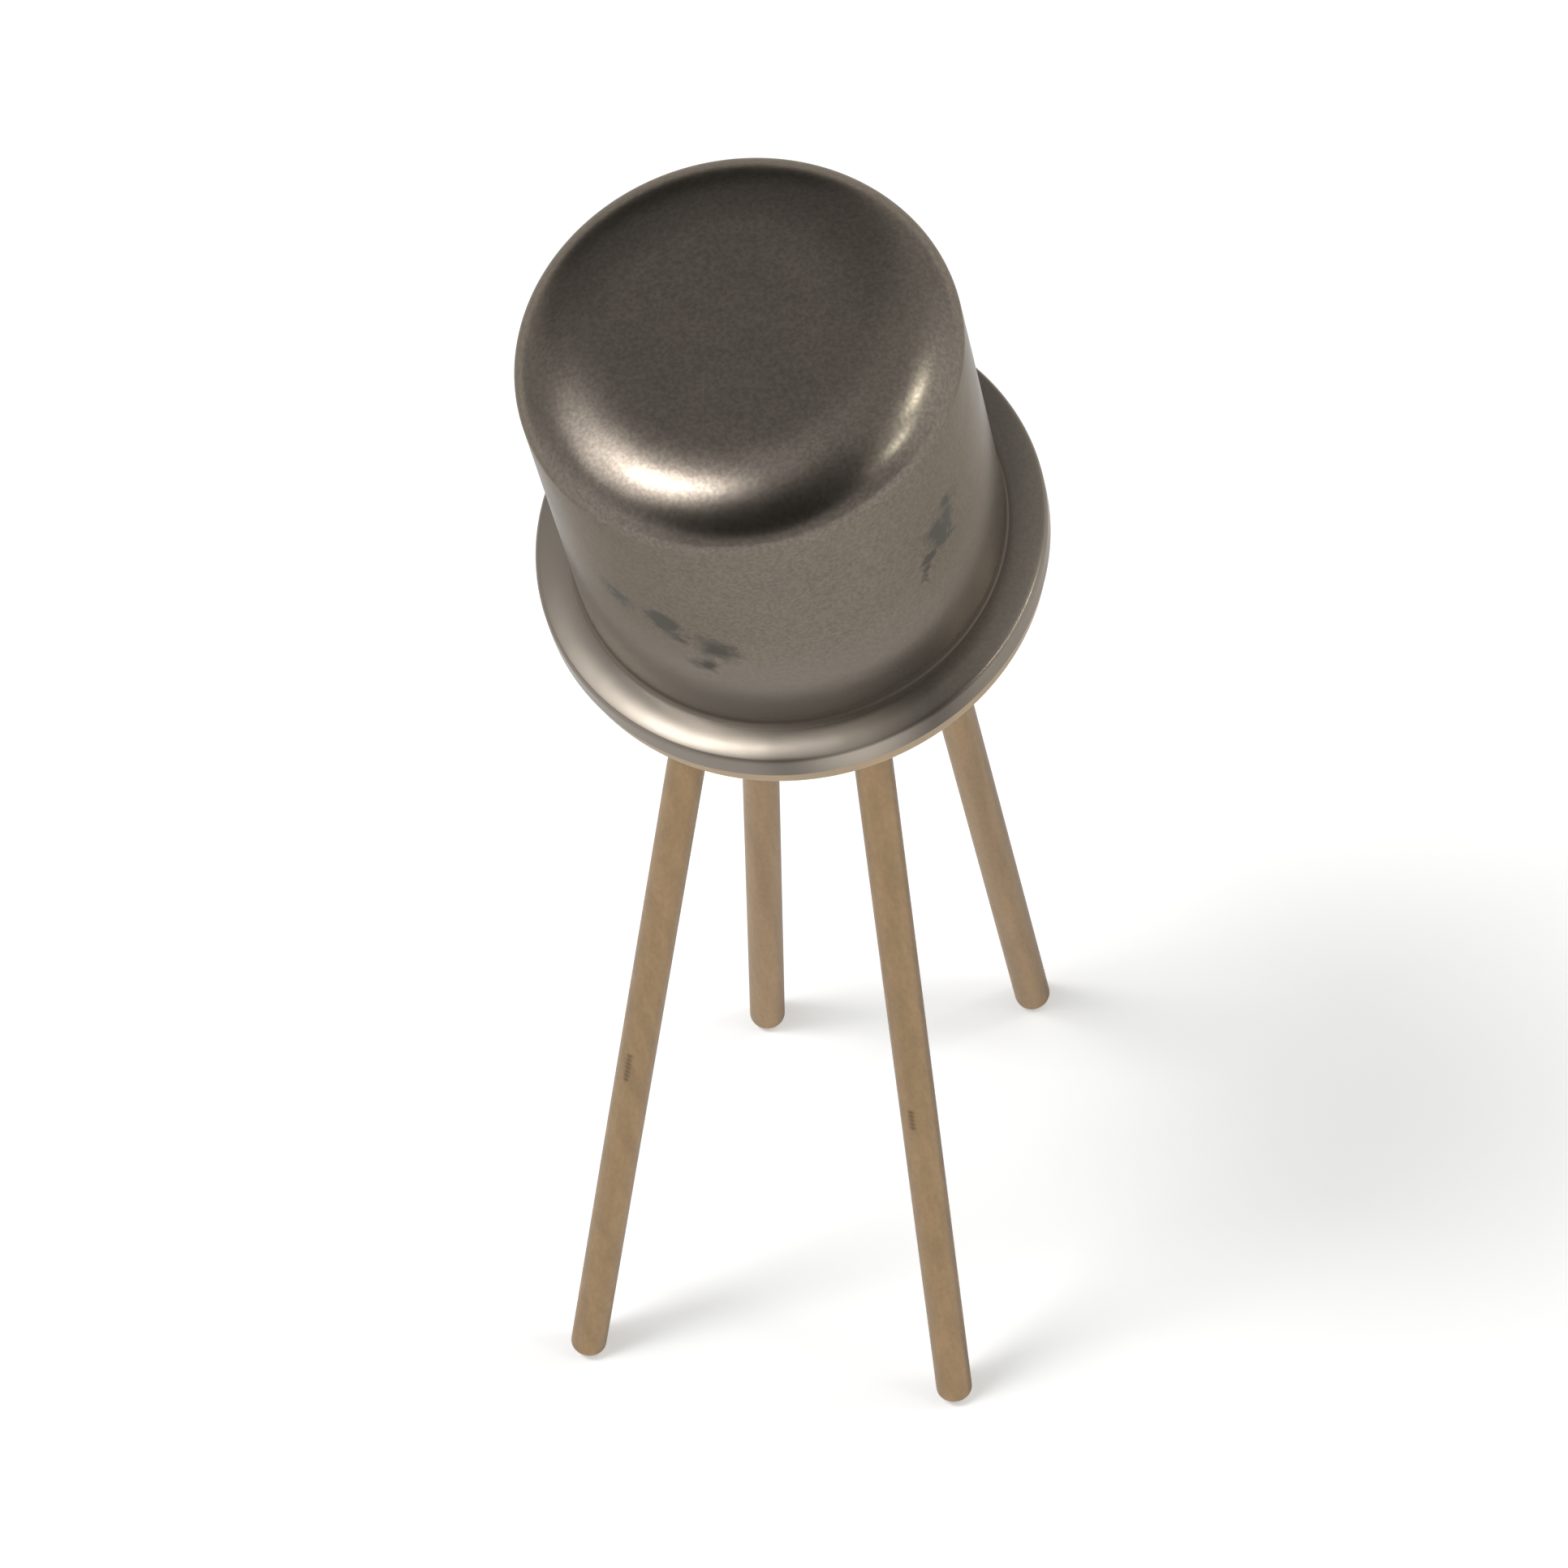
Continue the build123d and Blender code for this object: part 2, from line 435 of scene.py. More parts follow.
def glass_depth(x, y, headings):
    """Level of the glass's lower face, which is drawn down the eyelet's wall and down each lead."""
    level = GLASS_LEVEL + GLASS_RISE * (1 - (x * x + y * y) / CAVITY_R ** 2)
    level -= WALL_DRAW * math.exp(-(CAVITY_R - math.hypot(x, y)) / WALL_FADE)
    for h in headings:
        away = from_lead(x, y, h) - LEAD_R
        level -= LEAD_DRAW * math.exp(-max(away, 0) / LEAD_FADE)
    return level


def glass_spread(rim, headings):
    """Places over the glass's lower face: rows that lie closer towards the wall and rings round each lead."""
    places = []
    for row in range(1, GLASS_ROWS):
        r = rim * (1 - (row / GLASS_ROWS) ** ROW_SPREAD) if row < GLASS_ROWS - 1 else MIDDLE_ROW_R
        count = max(6, int(ROW_POINTS * r / rim))
        for k in range(count):
            a = TURN * (k + 0.5 * (row % 2)) / count
            x, y = r * math.cos(a), r * math.sin(a)
            if all(from_lead(x, y, h) > LEAD_R + ROWS_OFF_LEAD for h in headings):
                places.append(Vector((x, y)))
    for h in headings:
        for away in LEAD_RINGS:
            ring = hole_ring(h, LEAD_R + GLASS_GAP + away, 0, GLASS_SEGMENTS)
            places += [Vector(p[:2]) for p in ring if math.hypot(p[0], p[1]) < rim - RINGS_OFF_WALL]
    return places


def glass_underside(points, faces, rings, spread, headings):
    """Lower face of the glass. Gives back the numbers of the points on each of its rings."""
    places, tris, origin = filled(rings, spread)
    low = add_ring(points, [(p[0], p[1], glass_depth(p[0], p[1], headings)) for p in places])
    faces += [[low[v] for v in reversed(tri)] for tri in tris]
    made_as = {given: made for made, group in enumerate(origin) for given in group}
    low_rings, start = [], 0
    for ring in rings:
        low_rings.append([low[made_as[start + k]] for k in range(len(ring))])
        start += len(ring)
    return low_rings


def glass_top(points, faces, rim):
    """Upper face of the glass, with a collar up through the deck round each insulated lead. Gives back, by
    heading, the numbers of the points round each lead."""
    ledge = CAVITY_Z - GLASS_GAP
    seal, bore = SEAL_R - GLASS_GAP, LEAD_R + GLASS_GAP
    collars = [add_ring(points, hole_ring(h, seal, ledge, GLASS_SEGMENTS)) for h in insulated_headings()]
    case_hole = add_ring(points, hole_ring(case_heading(), bore, ledge, GLASS_SEGMENTS))
    loops = [rim] + collars + [case_hole]
    numbers = [i for loop in loops for i in loop]
    _, tris, origin = filled([[points[i] for i in loop] for loop in loops])
    faces += [[numbers[origin[v][0]] for v in tri] for tri in tris]
    tops = {case_heading(): case_hole}
    for h, collar in zip(insulated_headings(), collars):
        upper = add_ring(points, hole_ring(h, seal, DECK_Z, GLASS_SEGMENTS))
        tops[h] = add_ring(points, hole_ring(h, bore, DECK_Z, GLASS_SEGMENTS))
        faces += bridge(upper, collar) + bridge(tops[h], upper)
    return tops


def build_glass():
    """Glass that fills the eyelet, with a bore for each lead."""
    headings = lead_headings()
    rim = CAVITY_R - GLASS_GAP
    angles = [TURN * k / GLASS_RIM_SEGMENTS for k in range(GLASS_RIM_SEGMENTS)]
    border = [(rim * math.cos(a), rim * math.sin(a)) for a in angles]
    bores = [hole_ring(h, LEAD_R + GLASS_GAP, 0, GLASS_SEGMENTS) for h in headings]
    points, faces = [], []
    spread = glass_spread(rim, headings)
    low_rings = glass_underside(points, faces, [border] + bores, spread, headings)
    top_rim = add_ring(points, [(x, y, CAVITY_Z - GLASS_GAP) for x, y in border])
    faces += bridge(top_rim, low_rings[0])
    tops = glass_top(points, faces, top_rim)
    for h, low_ring in zip(headings, low_rings[1:]):
        faces += bridge(low_ring, tops[h])
    return make_piece("glass_fill", points, faces, "glass_seal")


def bend_point(index):
    """Place of a lead's bend, where its two straight runs would meet."""
    out = lead_headings()[index]
    return Vector((LEAD_RING * math.cos(out), LEAD_RING * math.sin(out), BEND_Z))


def wire_top(top, length):
    """Stations (centre, tilt, radius) of a wire's straight upper run, from its rounded end to the bend."""
    stations = []
    for k in range(POST_PARTS + 1):
        a = math.pi / 2 * k / POST_PARTS
        at = top + DOWN * (POST_ROUND * (1 - math.cos(a)))
        stations.append((at, 0.0, LEAD_R - POST_ROUND * (1 - math.sin(a))))
    straight = max(2, math.ceil((length - POST_ROUND) / LEAD_STEP))
    for k in range(1, straight):
        at = top + DOWN * (POST_ROUND + (length - POST_ROUND) * k / straight)
        stations.append((at, 0.0, LEAD_R))
    return stations


def wire_bend(bend, away, lean, tangent):
    """Stations round a wire's bend, which starts and ends a tangent's length from the bend's point."""
    stations = []
    centre = bend - DOWN * tangent + away * BEND_R
    turns = max(3, math.ceil(lean / BEND_STEP))
    for k in range(turns + 1):
        a = math.radians(lean) * k / turns
        at = centre - away * (BEND_R * math.cos(a)) + DOWN * (BEND_R * math.sin(a))
        stations.append((at, a, LEAD_R))
    return stations


def wire_leg(start, run, slope, length):
    """Stations of a wire's leg, from below the bend to its rounded tip."""
    stations = []
    parts = math.ceil(length / LEAD_STEP)
    for k in range(1, parts + 1):
        stations.append((start + run * (length * k / parts), slope, LEAD_R))
    for k in range(1, TIP_PARTS + 1):
        a = math.pi / 2 * k / TIP_PARTS
        at = start + run * (length + TIP_ROUND * math.sin(a))
        stations.append((at, slope, LEAD_R - TIP_ROUND * (1 - math.cos(a))))
    return stations


def wire_stations(bend, top_z, lean, away):
    """Stations of a whole wire: straight out of the header, round its bend, and down its leg."""
    slope = math.radians(lean)
    run = DOWN * math.cos(slope) + away * math.sin(slope)
    tangent = BEND_R * math.tan(slope / 2)
    tip_z = STAND_Z + TIP_ROUND + (LEAD_R - TIP_ROUND) * math.sin(slope) - TIP_ROUND * math.cos(slope)
    leg_length = (bend.z - tip_z) / math.cos(slope)
    top = bend + Vector((0, 0, top_z - BEND_Z))
    stations = wire_top(top, top_z - BEND_Z - tangent)
    stations += wire_bend(bend, away, lean, tangent)
    return stations + wire_leg(bend + run * tangent, run, slope, leg_length - tangent - TIP_ROUND)


def build_lead(index, name, lean, heading):
    """Drawn wire: straight out of the header, then bent into a leg with a rounded tip."""
    leg = math.radians(heading)
    away = Vector((math.cos(leg), math.sin(leg), 0))
    side = Vector((-math.sin(leg), math.cos(leg), 0))
    top_z = CAVITY_Z if name == CASE_LEAD else POST_Z
    stations = wire_stations(bend_point(index), top_z, lean, away)
    points, faces, rings = [], [], []
    angles = [TURN * k / LEAD_SEGMENTS for k in range(LEAD_SEGMENTS)]
    for centre, tilt, r in stations:
        across = away * math.cos(tilt) - DOWN * math.sin(tilt)
        ring = [centre + (across * math.cos(a) + side * math.sin(a)) * r for a in angles]
        rings.append(add_ring(points, ring))
    for upper, lower in zip(rings, rings[1:]):
        faces += bridge(upper, lower)
    first = add_ring(points, [stations[0][0]])
    last = add_ring(points, [stations[-1][0]])
    faces += bridge(first, rings[0]) + bridge(rings[-1], last)
    return make_piece(f"wire_{name}", points, faces, f"lead_{name}", sharp=40.0)


can = build_can()
header = build_header()
glass = build_glass()
wires = [build_lead(i, *lead) for i, lead in enumerate(LEADS)]


# Materials

class Shader:
    """Node tree of a material or world, in which node() makes a node and links or sets its inputs by name."""

    def __init__(self, owner):
        self.owner = owner
        self.owner.use_nodes = True
        self.tree = self.owner.node_tree
        self.tree.nodes.clear()

    def node(self, kind, settings=None, **inputs):
        made = self.tree.nodes.new("ShaderNode" + kind)
        for key, value in (settings or {}).items():
            setattr(made, key, value)
        for key, value in inputs.items():
            self.feed(made.inputs[key.replace("_", " ")], value)
        return made

    def feed(self, socket, value):
        if isinstance(value, bpy.types.NodeSocket):
            self.tree.links.new(value, socket)
        else:
            socket.default_value = value

    def place(self, scale):
        """The row frame's coordinates, in millimetres times a scale for each axis."""
        coords = self.node("TexCoord").outputs["Object"]
        mapping = self.node("Mapping", Vector=coords, Scale=[s / MM for s in scale])
        return mapping.outputs["Vector"]

    def noise(self, scale, detail=3.0, roughness=0.55):
        made = self.node("TexNoise", Vector=self.place(scale), Scale=1.0, Detail=detail,
                         Roughness=roughness, Distortion=0.0)
        return made.outputs[0]

    def ranged(self, value, low, high, to_low=0.0, to_high=1.0):
        """Value brought smoothly from low..high to to_low..to_high."""
        made = self.node("MapRange", {"interpolation_type": "SMOOTHSTEP"}, Value=value)
        for key, number in zip(("From Min", "From Max", "To Min", "To Max"), (low, high, to_low, to_high)):
            made.inputs[key].default_value = number
        return made.outputs["Result"]

    def math(self, operation, a, b=0.0):
        made = self.node("Math", {"operation": operation})
        self.feed(made.inputs[0], a)
        self.feed(made.inputs[1], b)
        return made.outputs[0]

    def vector_math(self, operation, a, b):
        made = self.node("VectorMath", {"operation": operation})
        self.feed(made.inputs[0], a)
        self.feed(made.inputs[1], b)
        return made.outputs["Value"]

    def mix(self, factor, a, b, blend="MIX"):
        made = self.node("Mix", {"data_type": "RGBA", "blend_type": blend})
        self.feed(made.inputs[0], factor)
        self.feed(made.inputs[6], a if isinstance(a, bpy.types.NodeSocket) else (*a, 1.0))
        self.feed(made.inputs[7], b if isinstance(b, bpy.types.NodeSocket) else (*b, 1.0))
        return made.outputs[2]

    def speckled(self, color, value, shade):
        """Colour that is multiplied by a shade where a noise value is high."""
        return self.mix(self.ranged(value, 0.3, 0.7), color, self.mix(1.0, color, shade, "MULTIPLY"))

    def spots(self, places, soft=1.0, ragged=0.0):
        """One at any of the places (point, radius), fading to nothing at radii that noise makes ragged."""
        at, most = self.place((1, 1, 1)), None
        if ragged:
            ripple = self.math("SUBTRACT", self.noise(RAGGED_EDGE, 3.0, 0.6), 0.5)
            shift = self.math("MULTIPLY", ripple, ragged)
        for point, radius in places:
            away = self.vector_math("DISTANCE", at, point)
            reach = self.math("ADD", away, shift) if ragged else away
            share = self.ranged(reach, radius * (1 - soft), radius, 1.0, 0.0)
            most = share if most is None else self.math("MAXIMUM", most, share)
        return most

    def bump(self, height, millimetres, normal=None):
        made = self.node("Bump", Strength=1.0, Distance=millimetres * MM, Height=height)
        if normal is not None:
            self.feed(made.inputs["Normal"], normal)
        return made.outputs["Normal"]

    def finish(self, surface):
        self.node("OutputMaterial", Surface=surface)
        return self.owner


def material_shader(name):
    """Shader of a new material."""
    return Shader(bpy.data.materials.new(name))


# Noise's cells in a millimetre, along each axis
PLATE_MOTTLE = (0.9, 0.9, 0.9)
PLATE_GRAIN = (22, 22, 22)
PLATE_SHEEN = (2.2, 2.2, 2.2)
PLATE_WAVES = (1.3, 1.3, 1.3)
INK_WEAR = (3.2, 3.2, 2.0)
RAGGED_EDGE = (2.6, 2.6, 2.6)
WIRE_BANDS = (5, 5, 0.4)
WIRE_GRAIN = (20, 20, 8)
WIRE_DRAWING = (18, 18, 3)

# Where the can's finishes and its painted light and shade begin and end in millimetres: heights, places
# across, and distances from the axis
LOWER_WALL_HEIGHTS = (0.8, 2.6)
LOWER_WALL_ACROSS = (-1.9, 1.6)
RIM_RADII = (2.70, 2.77)
RIM_LEFT = (-1.2, -0.5)
RIM_RIGHT = (0.9, 1.7)
PAINTED_HIGHLIGHT_RADII = (2.42, 2.50)
FOOT_SHADE_RADII = (2.37, 2.43)
FOOT_SHADE_HEIGHTS = (0.64, 0.78)

# Colours of the can's plate, and of the light and shade painted on it
NICKEL_TONES = (0.226, 0.192, 0.160), (0.208, 0.180, 0.152)
NICKEL_GRAIN = (0.70, 0.70, 0.70)
NICKEL_TINT = (0.58, 0.55, 0.51, 1.0)
# Painted light from the window-lit flange: the lower wall lighter and greyer, most at the left
LOWER_WALL_PAINTED_LIGHT = (0.275, 0.242, 0.204)
# Painted reflection on the flange's edge: darker in front and behind, lighter at the sides
RIM_PAINTED_DARK = (0.115, 0.098, 0.084)
RIM_PAINTED_LIGHT = (0.25, 0.215, 0.18)
# Painted highlight on the flange
PAINTED_FLANGE_HIGHLIGHT = (0.50, 0.435, 0.365)
# Painted shade in the crease at the wall's foot
FOOT_PAINTED_SHADE = (0.150, 0.125, 0.100)
WORN_INK = (0.066, 0.060, 0.044)

# Dark specks on the crown: place in millimetres and radius
SPECKS = [((-0.65, 0.70, CAN_H), 0.035), ((-0.23, -0.01, CAN_H), 0.022), ((0.21, -0.40, CAN_H), 0.028)]

# Place on the flange where a highlight is painted, and its radius
PAINTED_HIGHLIGHT_SPOT = ((0.05, -2.60, 0.56), 0.95)

# Worn smudges on the wall: heading in degrees, height and radius in millimetres
SMUDGES = [
    (-145, 2.72, 0.22), (-131, 2.62, 0.22), (-127, 2.32, 0.17), (-117, 2.20, 0.34), (-120, 1.92, 0.24),
    (-46, 3.25, 0.26), (-48, 2.98, 0.32), (-49, 2.78, 0.26),
    (-56, 2.60, 0.12), (-57, 2.48, 0.12), (-58, 2.36, 0.11),
]


def on_wall(heading, height):
    """Point of the can's wall in millimetres."""
    return CAN_R * math.cos(math.radians(heading)), CAN_R * math.sin(math.radians(heading)), height


def from_axis(s, x, y):
    """Distance from the can's axis in millimetres."""
    return s.math("SQRT", s.math("ADD", s.math("POWER", x, 2.0), s.math("POWER", y, 2.0)))


def rim_painted_reflection(s, x):
    """Colour of the flange's edge with a painted reflection: lighter at the left and the right than in front
    and behind.
    """
    left = s.ranged(x, *RIM_LEFT, 1.0, 0.0)
    right = s.ranged(x, *RIM_RIGHT)
    return s.mix(s.math("MAXIMUM", left, right), RIM_PAINTED_DARK, RIM_PAINTED_LIGHT)


def can_marks(s):
    """Strength of the worn ink on the wall and of the specks on the crown."""
    places = [(on_wall(heading, height), size) for heading, height, size in SMUDGES]
    worn = s.ranged(s.noise(INK_WEAR, 3.0, 0.6), 0.28, 0.42)
    smudge = s.math("MULTIPLY", s.spots(places, soft=0.7, ragged=0.7), worn)
    return s.math("MAXIMUM", smudge, s.spots(SPECKS, soft=0.5))


def nickel_can():
    """Satin nickel plate, mottled, with painted light and shade: a greyer, lighter lower wall, most at the
    left, a painted highlight on the flange, painted shade at the foot and a painted reflection on the
    flange's edge.
    """
    s = material_shader("nickel_can")
    axes = s.node("SeparateXYZ", Vector=s.place((1, 1, 1))).outputs
    radius = from_axis(s, axes["X"], axes["Y"])
    # Painted light low on the wall, strongest at the left, where the plate is also made duller
    lowest = s.ranged(axes["Z"], *LOWER_WALL_HEIGHTS, 1.0, 0.0)
    low = s.math("MULTIPLY", lowest, s.ranged(axes["X"], *LOWER_WALL_ACROSS, 1.0, 0.44))
    # Painted highlight: a spot on the flange's arched face, outside the crease
    painted_highlight = s.math("MULTIPLY", s.spots([PAINTED_HIGHLIGHT_SPOT]), s.ranged(radius, *PAINTED_HIGHLIGHT_RADII))
    # Painted shade in the crease at the wall's foot, where the plate is also made duller and rougher
    near_wall = s.ranged(radius, *FOOT_SHADE_RADII, 1.0, 0.0)
    foot = s.math("MULTIPLY", near_wall, s.ranged(axes["Z"], *FOOT_SHADE_HEIGHTS, 1.0, 0.0))
    mark = can_marks(s)
    grain = s.noise(PLATE_GRAIN, 3.0, 0.7)

    color = s.mix(s.ranged(s.noise(PLATE_MOTTLE, 4.0), 0.30, 0.70), *NICKEL_TONES)
    color = s.speckled(color, grain, NICKEL_GRAIN)
    color = s.mix(low, color, LOWER_WALL_PAINTED_LIGHT)
    # Painted reflection on the flange's edge
    color = s.mix(s.ranged(radius, *RIM_RADII), color, rim_painted_reflection(s, axes["X"]))
    # Painted highlight on the flange's arched face
    color = s.mix(painted_highlight, color, PAINTED_FLANGE_HIGHLIGHT)
    color = s.mix(foot, color, FOOT_PAINTED_SHADE)
    color = s.mix(mark, color, WORN_INK)

    metallic = s.math("SUBTRACT", 0.94, s.math("MULTIPLY", low, 0.55))
    metallic = s.math("MULTIPLY", metallic, s.ranged(foot, 0.0, 1.0, 1.0, 0.45))
    metallic = s.math("MULTIPLY", metallic, s.ranged(mark, 0.0, 1.0, 1.0, 0.35))

    rough = s.ranged(s.noise(PLATE_SHEEN, 3.0), 0.3, 0.7, 0.25, 0.27)
    rough = s.math("ADD", rough, s.math("MULTIPLY", foot, 0.20))
    rough = s.math("ADD", rough, s.math("MULTIPLY", mark, 0.22))

    fine = s.bump(grain, 0.0002)
    wavy = s.bump(s.noise(PLATE_WAVES, 2.0), 0.005, fine)
    bsdf = s.node("BsdfPrincipled", Base_Color=color, Metallic=metallic, Roughness=rough, Normal=wavy,
                  Specular_Tint=NICKEL_TINT)
    return s.finish(bsdf.outputs[0])


# Colours of the leads' plate, and of the shade painted on one side
LEAD_TONES = (0.370, 0.250, 0.137), (0.310, 0.210, 0.118)
LEAD_GRAIN = (0.9, 0.9, 0.9)
LEAD_STREAK = (0.12, 0.074, 0.042)
LEAD_PAINTED_SHADE = (0.62, 0.58, 0.52)

# Dark streaks on the legs: the lead's name and a level for each point of a streak, and the points' radius
STREAKS = [("gate_1", -7.88 - 0.07 * k) for k in range(5)]
STREAKS += [("gate_2", -7.60 - 0.07 * k) for k in range(7)]
STREAK_R = 0.065

# Direction in which the streaks face
STREAK_SIDE = (-0.35, -0.5, 0.87)


def on_leg(name, level):
    """Point in millimetres on the side of a leg that faces up and forwards."""
    index = [lead[0] for lead in LEADS].index(name)
    slope, leg = math.radians(LEADS[index][1]), math.radians(LEADS[index][2])
    run = Vector((math.sin(slope) * math.cos(leg), math.sin(slope) * math.sin(leg), -math.cos(slope)))
    side = Vector(STREAK_SIDE)
    outward = (side - run * side.dot(run)).normalized()
    return bend_point(index) + run * ((BEND_Z - level) / math.cos(slope)) + outward * LEAD_R


def gold_lead():
    """Dull gold plate over drawn wire: faint lengthwise bands, small dark streaks, and painted shade on the
    side that faces +X.
    """
    s = material_shader("gold_lead")
    color = s.mix(s.ranged(s.noise(WIRE_BANDS, 3.0), 0.3, 0.7), *LEAD_TONES)
    color = s.speckled(color, s.noise(WIRE_GRAIN, 2.0), LEAD_GRAIN)
    streak = s.spots([(on_leg(name, level), STREAK_R) for name, level in STREAKS])
    color = s.mix(s.math("MULTIPLY", streak, 0.8), color, LEAD_STREAK)
    facing = s.node("SeparateXYZ", Vector=s.node("NewGeometry").outputs["Normal"]).outputs["X"]
    # Painted shade on each lead's side that faces +X
    color = s.mix(s.ranged(facing, 0.55, 0.95), color, s.mix(1.0, color, LEAD_PAINTED_SHADE, "MULTIPLY"))
    fine = s.bump(s.noise(WIRE_DRAWING, 2.0), 0.0006)
    bsdf = s.node("BsdfPrincipled", Base_Color=color, Metallic=1.0, Roughness=0.45, Normal=fine)
    return s.finish(bsdf.outputs[0])


def gold_header():
    """Dull gold plate on the stamped eyelet."""
    s = material_shader("gold_header")
    color = s.mix(s.ranged(s.noise((2, 2, 2), 3.0), 0.35, 0.65), (0.40, 0.29, 0.18), (0.35, 0.27, 0.18))
    fine = s.bump(s.noise((20, 20, 20), 2.0), 0.0006)
    bsdf = s.node("BsdfPrincipled", Base_Color=color, Metallic=1.0, Roughness=0.38, Normal=fine)
    return s.finish(bsdf.outputs[0])


def seal_glass():
    """Dark grey-green sealing glass with fine bubbles."""
    s = material_shader("seal_glass")
    tone = s.ranged(s.noise((3, 3, 3), 3.0), 0.35, 0.65)
    color = s.mix(tone, (0.030, 0.040, 0.034), (0.055, 0.065, 0.055))
    bubbles = s.node("TexVoronoi", Vector=s.place((9, 9, 9)), Scale=1.0)
    dents = s.bump(s.ranged(bubbles.outputs["Distance"], 0.0, 0.25), 0.004)
    bsdf = s.node("BsdfPrincipled", Base_Color=color, Metallic=0.0, Roughness=0.12, IOR=1.52, Normal=dents)
    return s.finish(bsdf.outputs[0])


def inner_finish(name, low, high, roughness, metallic=1.0):
    """Small inner piece: two close tones over a fine grain."""
    s = material_shader(name)
    color = s.mix(s.ranged(s.noise((8, 8, 8), 3.0), 0.35, 0.65), low, high)
    fine = s.bump(s.noise((40, 40, 40), 2.0), 0.0003)
    bsdf = s.node("BsdfPrincipled", Base_Color=color, Metallic=metallic, Roughness=roughness, Normal=fine)
    return s.finish(bsdf.outputs[0])


def silicon():
    """Polished silicon of the die."""
    return inner_finish("silicon", (0.09, 0.09, 0.11), (0.11, 0.11, 0.13), 0.15, metallic=0.0)


def die_solder():
    """Gold-silicon eutectic under the die."""
    return inner_finish("die_solder", (0.62, 0.52, 0.30), (0.55, 0.47, 0.30), 0.4)


def bond_gold():
    """Bright gold of the bond wires."""
    return inner_finish("bond_gold", (0.80, 0.58, 0.22), (0.74, 0.52, 0.20), 0.3)


def paint(piece, material):
    """Gives a piece one material in place of any that it has."""
    piece.data.materials.clear()
    piece.data.materials.append(material)


paint(can, nickel_can())
paint(header, gold_header())
paint(glass, seal_glass())
lead_material = gold_lead()
for wire in wires:
    paint(wire, lead_material)
paint(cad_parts["die"], silicon())
paint(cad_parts["die_attach"], die_solder())
bond_material = bond_gold()
for name, _, _ in LEADS:
    paint(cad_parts["bond_wire_" + name], bond_material)


# Floor, light and camera

# Floor: half its side, its matt white, and the glow that it shows to the camera, in reflections and through
# clear things
FLOOR_HALF = 3000.0
FLOOR_WHITE = (0.90, 0.90, 0.90, 1.0)
FLOOR_GLOW = 0.30

# Plain studio: an even level with a few soft areas in it. Each has its azimuth, elevation and brightness, the
# angle from its middle out to which it is full, and the angle at which it has ended
STUDIO_LEVEL = 0.55
OVER_CAMERA = (-10, 60, 0.02, 25, 42)
BEHIND = (180, 30, 0.20, 25, 40)
LOW_BEHIND = (180, 0, 0.02, 20, 35)
LEFT_SIDE = (-80, 5, 1.10, 5, 40)
RIGHT_SIDE = (85, 20, 1.10, 5, 40)
WINDOW_GLOW = (-110, 60, 3.50, 5, 20)

# Lamps: azimuth, elevation, the angles that each fills across and upwards, its brightness and its colour
WINDOW = (-110, 71, 10, 19, 17, (1, 1, 1))
LAMP_HIGH = (92, 49, 8.0, 5.5, 22.0, (0.97, 1.0, 0.88))
LAMP_LOW = (66, 46, 7.0, 5.0, 20.0, (0.97, 1.0, 0.88))

# Metres from the origin to each lamp
LAMP_DISTANCE = 10.0

# Camera, fitted to the photograph's outline: its place, its elevation and roll in degrees, its focal length
# and half its frame in pixels, and the pixel that the origin falls on
CAMERA_PLACE = (0, -43.487, 76.068)
CAMERA_ELEVATION = 60.244
CAMERA_ROLL = -16.251
FOCAL_PIXELS = 10000.0
HALF_FRAME = 966.0
ORIGIN_PIXEL_X = 982.57
ORIGIN_PIXEL_Y = 686.863

# Camera's sensor in millimetres, and how near and how far it sees in metres
SENSOR_WIDTH = 36.0
NEAREST = 0.001
FARTHEST = 10.0


def direction(azimuth, elevation):
    """Unit vector towards a place in the studio: azimuth 0 is on the camera's side and 90 on its right."""
    a, e = math.radians(azimuth), math.radians(elevation)
    return Vector((math.sin(a) * math.cos(e), -math.cos(a) * math.cos(e), math.sin(e)))


def floor_material():
    """Matt white that shows white to the camera and in reflections, and clear when seen from below."""
    s = material_shader("floor")
    path = s.node("LightPath").outputs
    seen = s.math("MAXIMUM", path["Is Camera Ray"], path["Is Glossy Ray"])
    seen = s.math("MAXIMUM", seen, path["Is Transmission Ray"])
    matt = s.node("BsdfDiffuse", Color=FLOOR_WHITE)
    glow = s.node("Emission", Color=(1, 1, 1, 1), Strength=s.math("MULTIPLY", seen, FLOOR_GLOW))
    both = s.node("AddShader")
    s.feed(both.inputs[0], matt.outputs[0])
    s.feed(both.inputs[1], glow.outputs[0])
    under = s.node("MixShader", Fac=s.node("NewGeometry").outputs["Backfacing"])
    s.feed(under.inputs[1], both.outputs[0])
    s.feed(under.inputs[2], s.node("BsdfTransparent").outputs[0])
    return s.finish(under.outputs[0])


def build_floor():
    """Wide flat floor at the level on which the leads stand."""
    half, z = FLOOR_HALF, STAND_Z
    corners = [(-half, -half, z), (half, -half, z), (half, half, z), (-half, half, z)]
    mesh = bpy.data.meshes.new("floor")
    mesh.from_pydata([[c * MM for c in p] for p in corners], [], [[0, 1, 2, 3]])
    floor = bpy.data.objects.new("floor", mesh)
    bpy.context.scene.collection.objects.link(floor)
    paint(floor, floor_material())


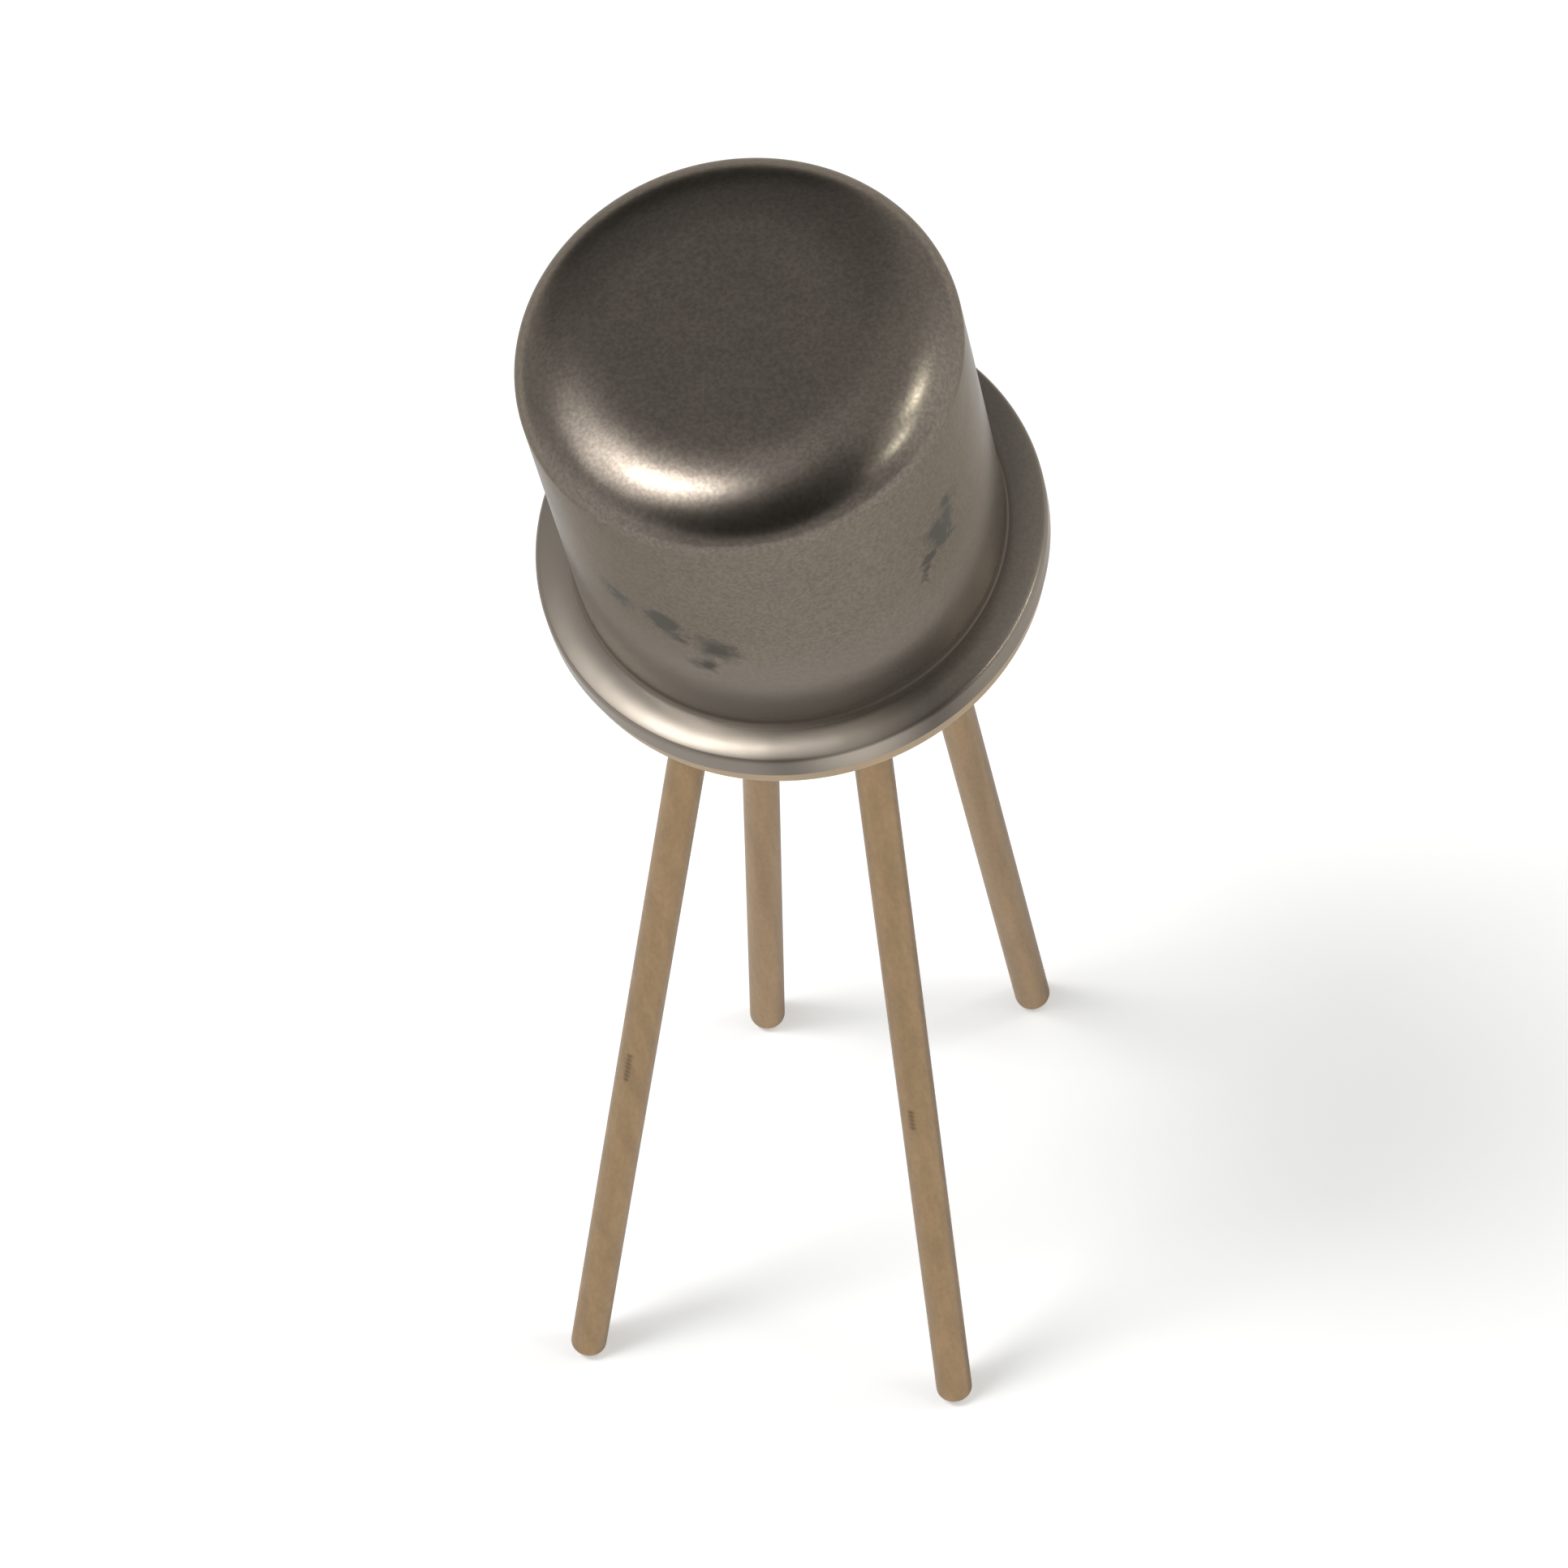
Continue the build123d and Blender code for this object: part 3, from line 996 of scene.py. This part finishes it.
def build_world():
    """Studio's even level with its soft areas, each laid over the ones before it."""
    world = bpy.data.worlds.new("studio")
    bpy.context.scene.world = world
    s = Shader(world)
    way = s.node("TexCoord").outputs["Generated"]
    level = (STUDIO_LEVEL,) * 3
    areas = [LEFT_SIDE, RIGHT_SIDE, BEHIND, LOW_BEHIND, OVER_CAMERA, WINDOW_GLOW]
    for azimuth, elevation, bright, full, end in areas:
        nearness = s.vector_math("DOT_PRODUCT", way, direction(azimuth, elevation))
        share = s.ranged(nearness, math.cos(math.radians(end)), math.cos(math.radians(full)))
        level = s.mix(share, level, (bright,) * 3)
    back = s.node("Background", Color=level, Strength=1.0)
    s.node("OutputWorld", Surface=back.outputs[0])


def build_lamp(name, azimuth, elevation, wide, tall, radiance, color):
    """Oval soft lamp, set by the angles it fills as seen from the part and by its brightness."""
    light = bpy.data.lights.new(name, "AREA")
    light.shape = "ELLIPSE"
    light.size = 2 * LAMP_DISTANCE * math.tan(math.radians(wide / 2))
    light.size_y = 2 * LAMP_DISTANCE * math.tan(math.radians(tall / 2))
    light.energy = radiance * math.pi * math.pi * light.size * light.size_y / 4
    light.color = color
    lamp = bpy.data.objects.new(name, light)
    bpy.context.scene.collection.objects.link(lamp)
    toward = direction(azimuth, elevation)
    lamp.location = toward * LAMP_DISTANCE
    lamp.rotation_mode = "QUATERNION"
    lamp.rotation_quaternion = toward.to_track_quat("Z", "Y")


def camera_turn():
    """The camera's rotation, which puts the origin at its pixel."""
    elevation, roll = math.radians(CAMERA_ELEVATION), math.radians(CAMERA_ROLL)
    back = Vector((0, -math.cos(elevation), math.sin(elevation)))
    right = Vector((1, 0, 0))
    up = back.cross(right)
    rolled_right = right * math.cos(roll) + up * math.sin(roll)
    rolled_up = up * math.cos(roll) - right * math.sin(roll)
    basis = Matrix((rolled_right, rolled_up, back)).transposed()
    aim_x = (ORIGIN_PIXEL_X - HALF_FRAME) / FOCAL_PIXELS
    aim_y = (HALF_FRAME - ORIGIN_PIXEL_Y) / FOCAL_PIXELS
    aim = Vector((aim_x, aim_y, -1)).normalized()
    turn = Vector((0, 0, -1)).rotation_difference(aim).to_matrix()
    return basis @ turn.transposed()


def build_camera():
    """The photograph's camera."""
    data = bpy.data.cameras.new("camera")
    data.sensor_width = SENSOR_WIDTH
    data.lens = SENSOR_WIDTH * FOCAL_PIXELS / (2 * HALF_FRAME)
    data.clip_start = NEAREST
    data.clip_end = FARTHEST
    camera = bpy.data.objects.new("camera", data)
    bpy.context.scene.collection.objects.link(camera)
    place = Vector(CAMERA_PLACE) * MM
    camera.matrix_world = Matrix.Translation(place) @ camera_turn().to_4x4()
    bpy.context.scene.camera = camera


build_floor()
build_world()
build_lamp("window", *WINDOW)
build_lamp("lamp_high", *LAMP_HIGH)
build_lamp("lamp_low", *LAMP_LOW)
build_camera()
bpy.context.scene.view_settings.view_transform = "Standard"
